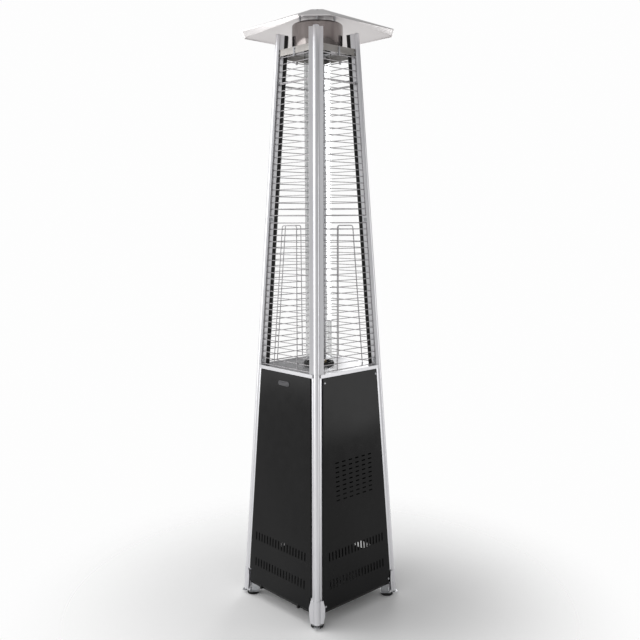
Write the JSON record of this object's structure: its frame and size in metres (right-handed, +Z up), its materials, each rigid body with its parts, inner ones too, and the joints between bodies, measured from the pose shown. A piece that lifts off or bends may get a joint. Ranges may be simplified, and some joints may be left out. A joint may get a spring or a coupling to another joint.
{
  "type": "outdoor gas heater",
  "caption": "Tall pyramid patio heater: leaning corner posts, black cylinder cabinet with tilting door, glass flame tube behind wire guards and a cut-cornered hood.",
  "frame": {"origin": "on the floor in the middle of the base", "axes": "+Z up, -Y out of the front door, +X out of the vented right-hand panel"},
  "size_m": [0.4752, 0.4752, 2.265],
  "materials": {
    "satin_aluminium": "satin silver",
    "polished_steel": "polished stainless",
    "brushed_steel": "brushed stainless",
    "guard_wire": "bright drawn wire",
    "black_paint": "semi-gloss black powder coat",
    "black_steel": "satin black coat",
    "black_rubber": "matt",
    "black_plastic": "fine-textured",
    "brass": "machined",
    "zinc_steel": "zinc plated",
    "quartz": "clear polished",
    "red_plastic": "gloss"
  },
  "bodies": {
    "root": {"lower_post_front_right": "satin_aluminium", "upper_post_front_right": "satin_aluminium", "inner_channel_front_right": "black_steel", "foot_cover_front_right": "satin_aluminium", "foot_bracket_front_right": "zinc_steel", "rubber_foot_front_right": "black_rubber", "hood_standoff_front_right": "zinc_steel", "lower_post_back_right": "satin_aluminium", "upper_post_back_right": "satin_aluminium", "inner_channel_back_right": "black_steel", "foot_cover_back_right": "satin_aluminium", "foot_bracket_back_right": "zinc_steel", "rubber_foot_back_right": "black_rubber", "hood_standoff_back_right": "zinc_steel", "lower_post_back_left": "satin_aluminium", "upper_post_back_left": "satin_aluminium", "inner_channel_back_left": "black_steel", "foot_cover_back_left": "satin_aluminium", "foot_bracket_back_left": "zinc_steel", "rubber_foot_back_left": "black_rubber", "hood_standoff_back_left": "zinc_steel", "lower_post_front_left": "satin_aluminium", "upper_post_front_left": "satin_aluminium", "inner_channel_front_left": "black_steel", "foot_cover_front_left": "satin_aluminium", "foot_bracket_front_left": "zinc_steel", "rubber_foot_front_left": "black_rubber", "hood_standoff_front_left": "zinc_steel", "top_bar_front": "brushed_steel", "lower_guard_front": "guard_wire", "upper_guard_front": "guard_wire", "top_bar_right": "brushed_steel", "lower_guard_right": "guard_wire", "upper_guard_right": "guard_wire", "top_bar_back": "brushed_steel", "lower_guard_back": "guard_wire", "upper_guard_back": "guard_wire", "top_bar_left": "brushed_steel", "lower_guard_left": "guard_wire", "upper_guard_left": "guard_wire", "base_shelf": "black_steel", "right_panel": "black_paint", "back_panel": "black_paint", "left_panel": "black_paint", "burner_deck": "polished_steel", "burner": "brushed_steel", "tube_ring": "black_steel", "pilot_assembly": "brass", "control_plate": "black_steel", "gas_valve": "brass", "gas_pipe": "brass", "igniter_body": "black_plastic", "quartz_tube": "quartz", "tube_top_plate": "polished_steel", "flame_screen": "polished_steel", "hood": "polished_steel"},
    "door": {"door": "black_paint"},
    "valve_stem": {"valve_stem": "zinc_steel"},
    "control_knob": {"control_knob": "black_plastic"},
    "igniter_button": {"igniter_button": "red_plastic"}
  },
  "joints": [
    {"name": "door_tilt", "type": "hinge", "parent": "root", "child": "door", "pos_m": [0, -0.21501, 0.06407], "axis": [1, 0, 0], "range_deg": [0, 90]},
    {"name": "valve_push", "type": "slide", "parent": "root", "child": "valve_stem", "axis": [0, 1, 0], "range_m": [0, 0.003], "stiffness_N_per_m": 800, "springref_m": -0.002},
    {"name": "knob_turn", "type": "hinge", "parent": "valve_stem", "child": "control_knob", "pos_m": [-0.038, -0.13, 0.85], "axis": [0, -1, 0], "range_deg": [0, 120]},
    {"name": "igniter_press", "type": "slide", "parent": "root", "child": "igniter_button", "axis": [0, 1, 0], "range_m": [0, 0.004], "stiffness_N_per_m": 1000, "springref_m": -0.002}
  ]
}
